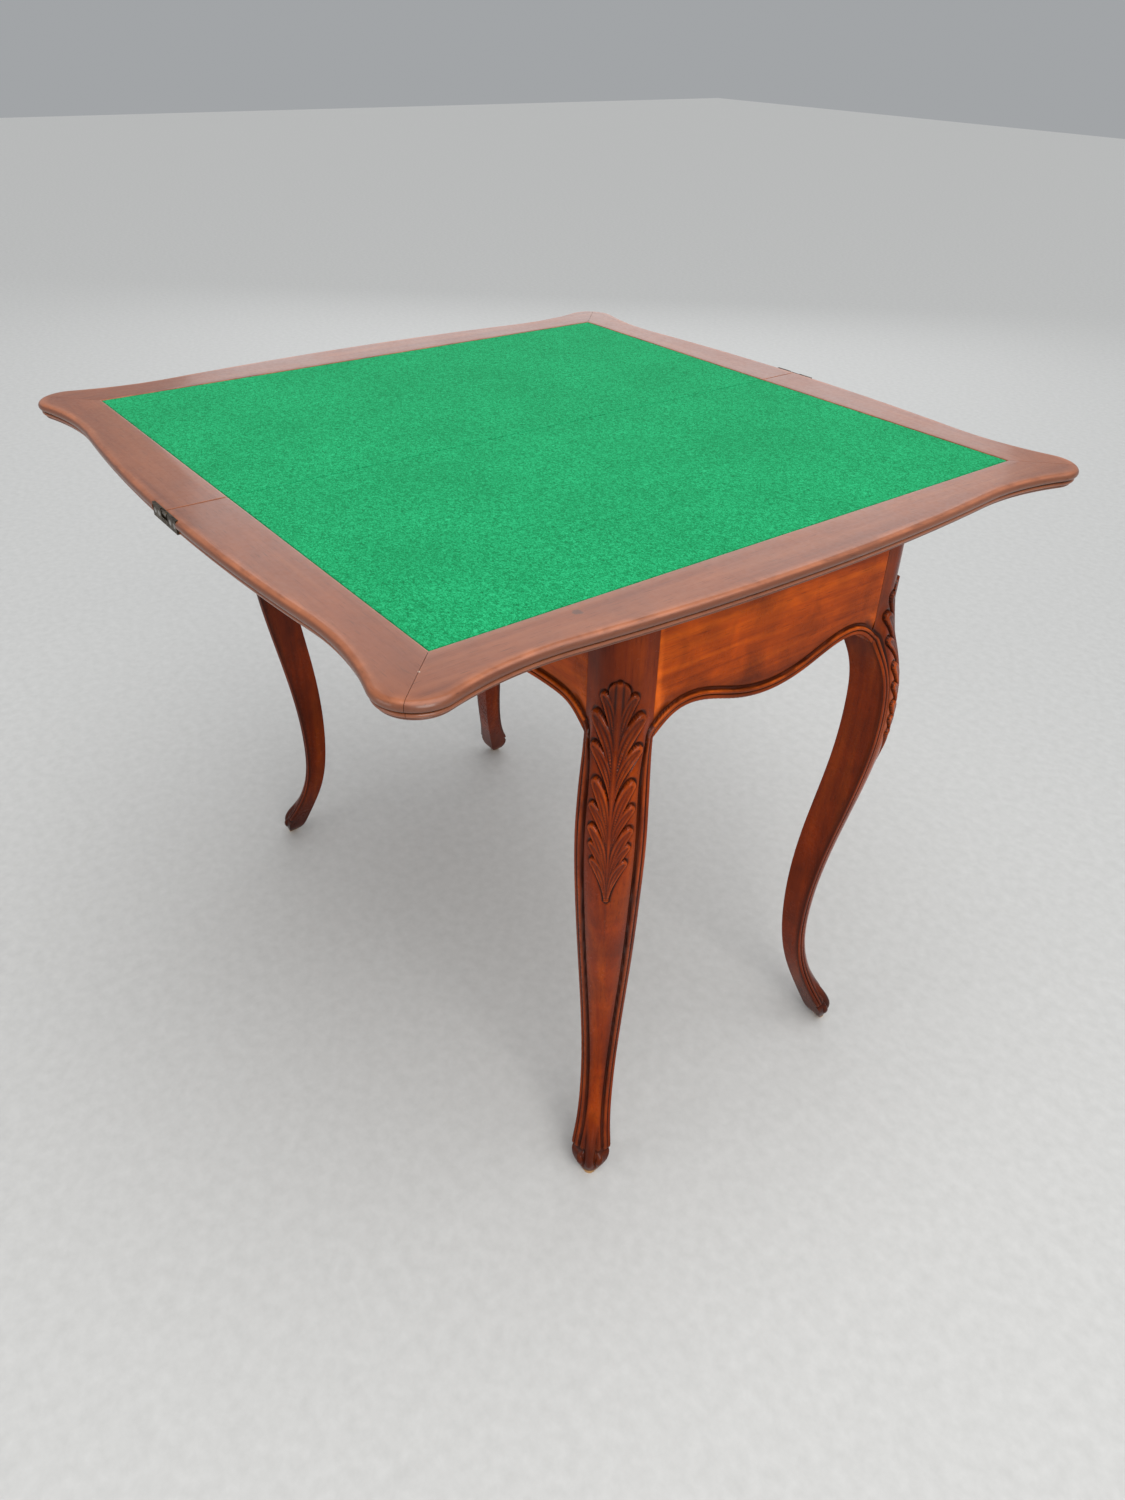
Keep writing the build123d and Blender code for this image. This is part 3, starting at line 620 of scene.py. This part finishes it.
def build_leg():
    """The leg at +X +Y, with its block, beads, knee carving and toe."""
    heights = np.concatenate([spread(*zone)[:-1] for zone in LEG_ZONES] + [[FRAME_TOP]])
    loops, runs = [], []
    for z in heights:
        loop, run, front = section(z)
        loops.append(loop)
        runs.append(run)
    loops, runs = np.array(loops), np.array(runs)
    z = np.repeat(heights[:, None], front, axis=1)
    run = runs[:, :front]
    total = run[:, -1:]
    from_edge = np.minimum(run, total - run)
    middle = run - total / 2
    across = inner_at(z) + from_edge
    edge = edge_line(INNER_Y)
    d = distance_to(edge[edge[:, 0] > -BLOCK_WIDTH - 40], across, z)
    beads = double_bead(d) * ramp(z, 35.0, 37.5)
    carve, ring_shade = acanthus(middle, z)
    in_carving = (z > CARVE_TIP - 4) & (z < CARVE_TOP + 8)
    height = beads + np.where(in_carving, carve * ramp(d, 10.0, 12.0), 0)
    height = height + np.where(z < TOE_TOP, foot_relief(middle, z), 0)
    # By the apron the face falls back flush with it, and swells out to the knee from there.
    joined = np.clip((z - JOIN_FOOT) / (SPRING - JOIN_FOOT), 0, 1) ** 4
    flush = -outer_at(z) * (1 - ramp(from_edge, 0, 18)) * joined
    # Painted shade in the hollows of the relief; the ridges get a painted highlight that also stands for
    # wear.
    near, polish_and_sheen = hollows(height, reach=3, strength=1.5)
    wide, rounded = hollows(height, reach=7, strength=0.55)
    # Painted shade: the undercut ground around the leaflets, the carving as a whole, and the strip along
    # the double bead.
    carving_shade = np.where(in_carving, ring_shade * 0.85 + 0.26 * (carve > 0.2), 0)
    tail = 0.35 * np.exp(-(middle / 0.8) ** 2) * ramp(z, 330, 400) * (z < CARVE_TIP + 4)
    bead_shade = painted_bead_shade(d) * (1 - ramp(z, 640, 660)) * ramp(z, 28, 37)
    hollow = near + wide * 0.7 + carving_shade + tail + bead_shade
    # Painted shade on the leg block, under the top.
    hollow = np.clip(hollow + 0.2 * ramp(z, 560, 660), 0, 0.95)
    hollow = np.maximum(hollow, 0.84 * (1 - ramp(z, 26, 96)))
    rubbed_and_highlit = np.clip(polish_and_sheen * 0.8 + rounded * 0.5, 0, 1) * (1 - hollow)
    points = np.zeros((*loops.shape[:2], 3))
    push = np.zeros(loops.shape[:2])
    push[:, :front] = height + flush
    points[..., 0] = BLOCK_X + loops[..., 0] + loops[..., 2] * push
    points[..., 1] = BLOCK_Y + loops[..., 1] + loops[..., 3] * push
    points[..., 2] = heights[:, None]
    fields = {}
    for name, values in (("hollow", hollow), ("rubbed_and_highlit", rubbed_and_highlit)):
        fields[name] = np.zeros(loops.shape[:2])
        fields[name][:, :front] = values
    fields["hollow"][:, front:] = (0.2 + 0.54 * (1 - ramp(heights, 24, 92)))[:, None]
    fields["bare"] = np.repeat((1 - ramp(heights, 3.0, 8.0))[:, None], loops.shape[1], axis=1)
    return tube_mesh("leg_back_right_carved", points, fields, LEG_CREASE)


def dress(obj, body, material, node):
    """A new piece: its material, its body and the CAD node that it stands for."""
    obj.data.materials.clear()
    obj.data.materials.append(material)
    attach(obj, body)
    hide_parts(node)


leg = build_leg()
leg_left = mirrored(leg, "leg_back_left_carved", 0)
for obj, node in ((leg, "leg_back_right"), (leg_left, "leg_back_left"),
                  (mirrored(leg, "leg_front_right_carved", 1), "leg_front_right"),
                  (mirrored(leg_left, "leg_front_left_carved", 1), "leg_front_left")):
    dress(obj, "base", leg_wood, node)

# ---------------------------------------------------------------- aprons


BAND = 15                           # the finely meshed strip along an apron's lower edge
RISE = 100                          # the whole front in the same measure, stretched to the frame's top
APRON_CREASE = 50


def build_apron(name, half, face, along_x):
    """An apron as a tube of upright loops, half its length each way: moulded front, plain back."""
    along = np.concatenate([[-half, 0.45 - half], spread(1.2 - half, half - 1.2, 1.5), [half - 0.45, half]])
    low = serpentine(half)(along)
    rise = np.concatenate([spread(0, BAND, 0.42), spread(BAND, RISE, 9.0)[1:]])
    share = np.where(rise <= BAND, 0, (rise - BAND) / (RISE - BAND))
    z = low[:, None] + np.minimum(rise, BAND)[None, :] + share[None, :] * (FRAME_TOP - BAND - low)[:, None]
    across = -(half - np.abs(along))[:, None] - BLOCK_WIDTH + np.zeros_like(z)
    d = distance_to(edge_line(half), across, z)
    beads = double_bead(d)
    # Painted shade in the hollows of the moulding; the ridges get a painted highlight that also stands for
    # wear.
    near, polish_and_sheen = hollows(beads, reach=3, strength=1.6)
    wide, rounded = hollows(beads, reach=8, strength=0.5)
    to_end = (half - np.abs(along))[:, None] + np.zeros_like(z)
    joint = 1 - ramp(to_end, 0, 0.8)
    # A pale streak where the stain has rubbed off beside one joint.
    from_joint = along[:, None] + half + 0.02 * (z - 700)
    streak = 0.8 * (1 - ramp(from_joint, 2.5, 8)) * (1 - joint) * ramp(d, 10, 20)
    front = np.stack([np.repeat(along[:, None], z.shape[1], 1), face + beads - 0.3 * joint, z], -1)
    back = np.array([[(a, face - APRON_THICK, FRAME_TOP), (a, face - APRON_THICK, l), (a, face - 8, l)]
                     for a, l in zip(along, low)])
    points = np.concatenate([front, back], 1)
    if not along_x:
        points = points[..., [1, 0, 2]]
    fields = {}
    # Painted shade in the hollows and along the bead, and the dark joint at each end; wear and a painted
    # highlight on the ridges, and a pale streak.
    for field, values in (("hollow", np.clip(near + wide * 0.6 + painted_bead_shade(d) + 0.8 * joint, 0, 0.93)),
                          ("rubbed_and_highlit", np.clip(polish_and_sheen * 0.8 + rounded * 0.4 + streak, 0, 1))):
        fields[field] = np.zeros(points.shape[:2])
        fields[field][:, :z.shape[1]] = values
    return tube_mesh(name, points, fields, APRON_CREASE)


end_apron = build_apron("end_apron_right_moulded", INNER_Y, BLOCK_X, along_x=False)
long_apron = build_apron("long_apron_back_moulded", INNER_X, BLOCK_Y, along_x=True)
end_left = mirrored(end_apron, "end_apron_left_moulded", 0)
long_front = mirrored(long_apron, "long_apron_front_moulded", 1)
for obj, node, material in ((end_apron, "end_apron_right", apron_y),
                            (end_left, "end_apron_left", apron_y),
                            (long_apron, "long_apron_back", apron_x),
                            (long_front, "long_apron_front", apron_x)):
    dress(obj, "base", material, node)

# ---------------------------------------------------------------- border rails
LEAF_DEPTH = 440.0                  # the open top's half width, at the middle of a side
VALLEY = 425.0                      # half width at the shallow hollow before each corner
VALLEY_AT = 300.0                   # where along the side that hollow is
CORNER_RADIUS = 38.0
CORNER = LEAF_DEPTH - CORNER_RADIUS
RAIL_CREASE = 40


def half_side():
    """Outline from the middle of a side to the diagonal: points with outward normals.

    Three tangent arcs: the side's bulge, the hollow and the rounded corner."""
    dip = LEAF_DEPTH - VALLEY
    radii = (VALLEY_AT ** 2 + dip ** 2) / (2 * dip)     # the bulge's and the hollow's together
    run, rise = CORNER - VALLEY_AT, VALLEY - CORNER
    hollow = (run ** 2 + rise ** 2 - CORNER_RADIUS ** 2) / (2 * (CORNER_RADIUS - rise))
    bulge = radii - hollow
    turn, flare = asin(VALLEY_AT / radii), asin(run / (hollow + CORNER_RADIUS))
    points = [(bulge * sin(a), LEAF_DEPTH - bulge + bulge * cos(a), sin(a), cos(a))
              for a in spread(0, turn, turn / 56)]
    points += [(VALLEY_AT + hollow * sin(a), VALLEY + hollow - hollow * cos(a), -sin(a), cos(a))
               for a in spread(-turn, flare, (turn + flare) / 40)[1:]]
    points += [(CORNER + CORNER_RADIUS * sin(a), CORNER + CORNER_RADIUS * cos(a), sin(a), cos(a))
               for a in spread(-flare, pi / 4, (flare + pi / 4) / 22)[1:]]
    return np.array(points)


def arc(cx, cz, rx, rz, start, stop, count):
    """Points of an ellipse's arc, in degrees, for a moulding's profile."""
    return [(cx + rx * cos(radians(a)), cz + rz * sin(radians(a))) for a in np.linspace(start, stop, count)]


def leaf_profile():
    """The moulded edge from top to bottom: inset from the outline, height over the top, painted shade and
    painted highlight.
    """
    nose = arc(6.5, -5.2, 6.5, 5.2, 90, 215, 20)
    bead = arc(4.9, -12.4, 2.2, 1.9, 120, 250, 10)
    foot = arc(8.2, -16.2, 2.6, 1.8, 150, 270, 7)
    # Painted shade on the nose's lower half, in the quirks, in the fillet and on the foot; a painted
    # highlight on the nose's upper arris and, faintly, on the bead.
    rows = [(x, z, 0.45 * (1 - ramp(z, -3.0, -1.0)), 0.95 * ramp(z, -2.2, -0.7)) for x, z in nose]
    rows += [(4.9, -9.3, 0.95, 0), (5.3, -9.9, 1.0, 0), (4.9, -10.6, 0.95, 0)]
    rows += [(x, z, 0.15, 0.2) for x, z in bead]
    rows += [(6.0, -14.5, 0.95, 0), (6.3, -15.0, 0.95, 0)]
    rows += [(x, z, 0.5, 0) for x, z in foot]
    return rows


def rail_grid(outline, inner):
    """Points and fields of a border rail, in loops along its outline: flat top, moulded edge, underside."""
    inset, drop, stain_and_shade, rub_and_highlight = np.array(leaf_profile()).T
    place, normal = outline[:, None, :2], outline[:, None, 2:4]
    edge = place - normal * inset[None, :, None]
    top_run = np.array([0.0, 0.012, 0.03, 0.2, 0.45, 0.7, 0.9])
    top = inner[:, None, :] + (edge[:, :1] - inner[:, None, :]) * top_run[None, :, None]
    under = inner[:, None, :] + (edge[:, -1:] - inner[:, None, :]) * np.array([0.5, 0.0])[None, :, None]
    flat = np.concatenate([top, edge, under], 1)
    # Painted shade along the edge by the cloth and on the underside; the edge by the cloth also gets a
    # painted highlight.
    heights = np.concatenate([[-0.5, -0.12, 0, 0, 0, 0, 0], drop, [-LEAF, -LEAF]])
    hollow = np.concatenate([[0.5, 0.1, 0, 0, 0, 0, 0], stain_and_shade, [0.4, 0.4]])
    rubbed_and_highlit = np.concatenate([[1.0, 1.0, 0, 0, 0, 0, 0], rub_and_highlight, [0, 0]])
    points = np.zeros((*flat.shape[:2], 3))
    points[..., :2] = flat
    points[..., 2] = TABLE_TOP + heights
    fields = {"hollow": np.tile(hollow, (len(flat), 1)), "rubbed_and_highlit": np.tile(rubbed_and_highlit, (len(flat), 1))}
    return points, fields


JOINT = 0.14                        # half the open line of a mitre
NOTCH = plate_high[0]               # the hinge plate's recess: its end and its back face
NOTCH_FACE = plate_low[1]


def side_rail():
    """The rail at +Y of the lower leaf, from the fold to the mitre."""
    outline = half_side()
    start = np.array([[FOLD_GAP + step, *outline[0][1:]] for step in (0, 0.9, 1.6)])
    notch = np.array([[x, np.interp(x, outline[:, 0], outline[:, 1]), *outline[4][2:]]
                      for x in (NOTCH, NOTCH + 0.05)])
    keep = outline[outline[:, 0] > 3]
    outline = np.concatenate([start, keep, notch])
    outline = outline[np.argsort(outline[:, 0], kind="stable")]
    inner = np.stack([np.minimum(outline[:, 0], CLOTH_HALF), np.full(len(outline), CLOTH_HALF)], 1)
    points, fields = rail_grid(outline, inner)
    in_notch = (outline[:, 0] <= NOTCH)[:, None]
    points[..., 1] = np.where(in_notch, np.minimum(points[..., 1], NOTCH_FACE), points[..., 1])
    # The edge at the fold is very slightly rounded, with a painted highlight along it.
    top_rows = points[0, :, 2] > TABLE_TOP - 0.4
    points[0, top_rows, 2] -= 0.25
    fields["rubbed_and_highlit"][:2, top_rows] = 1.0
    points[-1, :, 0] -= JOINT
    points[-1, :, 1] += JOINT
    return points, fields


def front_rail():
    """The rail at +X of the lower leaf, from mitre to mitre."""
    quarter = half_side()[:, [1, 0, 3, 2]]
    other = quarter[1:] * np.array([1, -1, 1, -1])
    outline = np.concatenate([other[::-1], quarter])
    inner_y_line = np.clip(outline[:, 1], -CLOTH_HALF, CLOTH_HALF)
    inner = np.stack([np.full(len(outline), CLOTH_HALF), inner_y_line], 1)
    points, fields = rail_grid(outline, inner)
    for end, way in ((0, 1), (-1, -1)):
        points[end, :, 0] += JOINT
        points[end, :, 1] += way * JOINT
    return points, fields


front = tube_mesh("lower_leaf_front_rail_moulded", *front_rail(), RAIL_CREASE)
side = tube_mesh("lower_leaf_side_rail_back_moulded", *side_rail(), RAIL_CREASE)
side_front = mirrored(side, "lower_leaf_side_rail_front_moulded", 1)
for obj, node, material in ((front, "front_rail", top_y), (side, "side_rail_back", top_x),
                            (side_front, "side_rail_front", top_x)):
    dress(obj, "lower_leaf", material, "lower_leaf_" + node)
    twin = mirrored(obj, "flap_" + node + "_moulded", 0)
    dress(twin, "flap", material, "flap_" + node)

# ---------------------------------------------------------------- baize
CLOTH_CREEP = 0.35                  # at the fold the cloth has crept out past the lipping
CLOTH_ROLL = 1.3                    # how far from the fold its edge rolls over
CLOTH_CREASE = 60


def build_cloth():
    """The lower leaf's cloth: pressed down along the rails and rolled over the fold."""
    def spaced(low, high):
        """Stations from low to high, close together at both ends."""
        edge = np.array([0, 0.35, 0.8, 1.4, 2.2, 3.4])
        return np.concatenate([low + edge, spread(low + 6, high - 6, 5.0), (high - edge)[::-1]])
    start = FOLD_GAP - CLOTH_CREEP
    x, y = spaced(start, CLOTH_HALF), spaced(-CLOTH_HALF, CLOTH_HALF)
    gx, gy = np.meshgrid(x, y, indexing="ij")
    to_rail = np.minimum(CLOTH_HALF - gx, CLOTH_HALF - np.abs(gy))
    to_fold = gx - start
    swell = 0.05 * np.sin(gx * 0.061 + 1.7) * np.sin(gy * 0.047) + 0.04 * np.sin(gx * 0.023 - gy * 0.031)
    z = CLOTH_TOP - 0.10 + swell * ramp(np.minimum(to_rail, to_fold), 2, 30)
    rolled = 1 - np.minimum(to_fold, CLOTH_ROLL) / CLOTH_ROLL
    z -= 0.75 * (1 - ramp(to_rail, 0, 1.6)) + 0.5 * (1 - np.sqrt(np.clip(1 - rolled ** 2, 0, 1)))
    count = len(x) * len(y)
    top = np.stack([gx, gy, z], -1).reshape(-1, 3)
    bottom = top.copy()
    bottom[:, 2] = CLOTH_UNDER
    index = np.arange(count).reshape(len(x), len(y))
    quads = np.stack([index[:-1, :-1], index[1:, :-1], index[1:, 1:], index[:-1, 1:]], -1).reshape(-1, 4)
    faces = quads.tolist() + (quads[:, ::-1] + count).tolist()
    rim = np.concatenate([index[:, 0], index[-1, 1:], index[-2::-1, -1], index[0, -2:0:-1]])
    after = np.roll(rim, -1)
    faces += np.stack([after, rim, rim + count, after + count], -1).tolist()
    # Painted shade along the rails and, fainter, at the fold.
    dark = (1 - ramp(to_rail, 0.3, 2.0)) * 0.8 + (1 - ramp(to_fold, 0.1, 1.0)) * 0.35
    fields = {"hollow": np.clip(np.concatenate([dark, dark]), 0, 1)}
    return piece("lower_leaf_baize_cloth", np.concatenate([top, bottom]), faces, fields, CLOTH_CREASE)


cloth = build_cloth()
dress(cloth, "lower_leaf", green_cloth, "lower_leaf_baize")
flap_cloth = mirrored(cloth, "flap_baize_cloth", 0)
dress(flap_cloth, "flap", green_cloth, "flap_baize")

# ---------------------------------------------------------------- CAD nodes that stay, with new materials
kept = {
    inner_y: ["pivot_board"],
    inner_x: ["pivot_cleat_front", "pivot_cleat_back", "well_floor", "well_batten_front",
              "well_batten_back", "corner_block_front_left", "corner_block_front_right",
              "corner_block_back_left", "corner_block_back_right"],
    under_wood: ["lower_leaf_panel", "flap_panel"],
    top_y: ["lower_leaf_lipping", "flap_lipping"],
    brass: ["pivot_plate", "pivot_bush", "hinge_plate_lower_back", "hinge_plate_lower_front",
            "hinge_plate_flap_back", "hinge_plate_flap_front", "hinge_link_back", "hinge_link_front"],
    steel: ["pivot_bolt", "pivot_washer", "pivot_nut", "stop_peg", "corner_block_screws",
            "pivot_cleat_screws", "pivot_plate_screws", "hinge_screws_lower", "hinge_screws_flap",
            "hinge_pins_lower", "hinge_pins_flap"],
    glide_cloth: ["glide_strips"],
}
for material, nodes in kept.items():
    for node in nodes:
        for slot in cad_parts[node].material_slots:
            slot.material = material

# ---------------------------------------------------------------- floor, light and camera


def floor_material():
    """Plain pale floor, with a slight grain."""
    s = Shader("studio_floor")
    grain = s.noise(s.place, 60.0, detail=6, rough=0.6)
    base = s.colours(grain, [(0.3, (0.50, 0.50, 0.49)), (0.7, (0.56, 0.56, 0.55))])
    s.set(Base_Color=base, Roughness=0.75)
    return s.material


FLOOR = 14.0                        # half the floor's width, metres
floor_corners = [(-FLOOR, -FLOOR, 0), (FLOOR, -FLOOR, 0), (FLOOR, FLOOR, 0), (-FLOOR, FLOOR, 0)]
floor_mesh = bpy.data.meshes.new("floor")
floor_mesh.from_pydata(floor_corners, [], [(0, 1, 2, 3)])
floor = bpy.data.objects.new("floor", floor_mesh)
floor_mesh.materials.append(floor_material())
bpy.context.scene.collection.objects.link(floor)


def lamp(name, place, target, size, watts, colour):
    """A soft rectangular lamp that points at a place."""
    data = bpy.data.lights.new(name, "AREA")
    data.shape = "RECTANGLE"
    data.size, data.size_y = size
    data.energy = watts
    data.color = colour
    obj = bpy.data.objects.new(name, data)
    obj.location = place
    obj.rotation_euler = (Vector(target) - Vector(place)).to_track_quat("-Z", "Y").to_euler()
    bpy.context.scene.collection.objects.link(obj)


sky = bpy.data.objects.new("sky", bpy.data.lights.new("sky", "SUN"))
sky.data.energy = 1.75
sky.data.angle = radians(70)
sky.rotation_euler = (radians(-6), radians(14), 0)
bpy.context.scene.collection.objects.link(sky)
lamp("pale_wall", (-2.8, 2.4, 2.0), (0, 0, 0.7), (3.8, 2.4), 26, (0.97, 0.98, 1.0))
lamp("window", (3.0, -0.9, 2.3), (0.1, 0, 0.4), (1.9, 1.9), 62, (1.0, 0.985, 0.96))
lamp("fill", (-0.4, -3.4, 1.5), (0, 0, 0.4), (2.0, 1.6), 20, (1.0, 0.98, 0.96))
world = bpy.data.worlds.new("studio")
world.use_nodes = True
backdrop = world.node_tree.nodes["Background"].inputs
backdrop["Color"].default_value = (0.86, 0.89, 0.92, 1)
backdrop["Strength"].default_value = 0.42
bpy.context.scene.world = world
bpy.context.scene.view_settings.view_transform = "Standard"

# The camera stands off the top's near corner at +X -Y, 1.16 m up, and is tilted slightly.
AZIMUTH, ELEVATION, ROLL = radians(51.72), radians(34.56), radians(-1.61)
CAMERA_PLACE = Vector((0.996, -0.7337, 1.1615))
forward = Vector((-sin(AZIMUTH) * cos(ELEVATION), cos(AZIMUTH) * cos(ELEVATION), -sin(ELEVATION)))
level = Vector((cos(AZIMUTH), sin(AZIMUTH), 0))
down = forward.cross(level)
right = cos(ROLL) * level + sin(ROLL) * down
up = right.cross(forward)
camera_data = bpy.data.cameras.new("camera")
camera_data.lens = 25.82
camera_data.sensor_width = 36.0
camera_data.clip_start = 0.02
camera = bpy.data.objects.new("camera", camera_data)
camera.matrix_world = Matrix((
    (right.x, up.x, -forward.x, CAMERA_PLACE.x),
    (right.y, up.y, -forward.y, CAMERA_PLACE.y),
    (right.z, up.z, -forward.z, CAMERA_PLACE.z),
    (0, 0, 0, 1)))
bpy.context.scene.collection.objects.link(camera)
bpy.context.scene.camera = camera
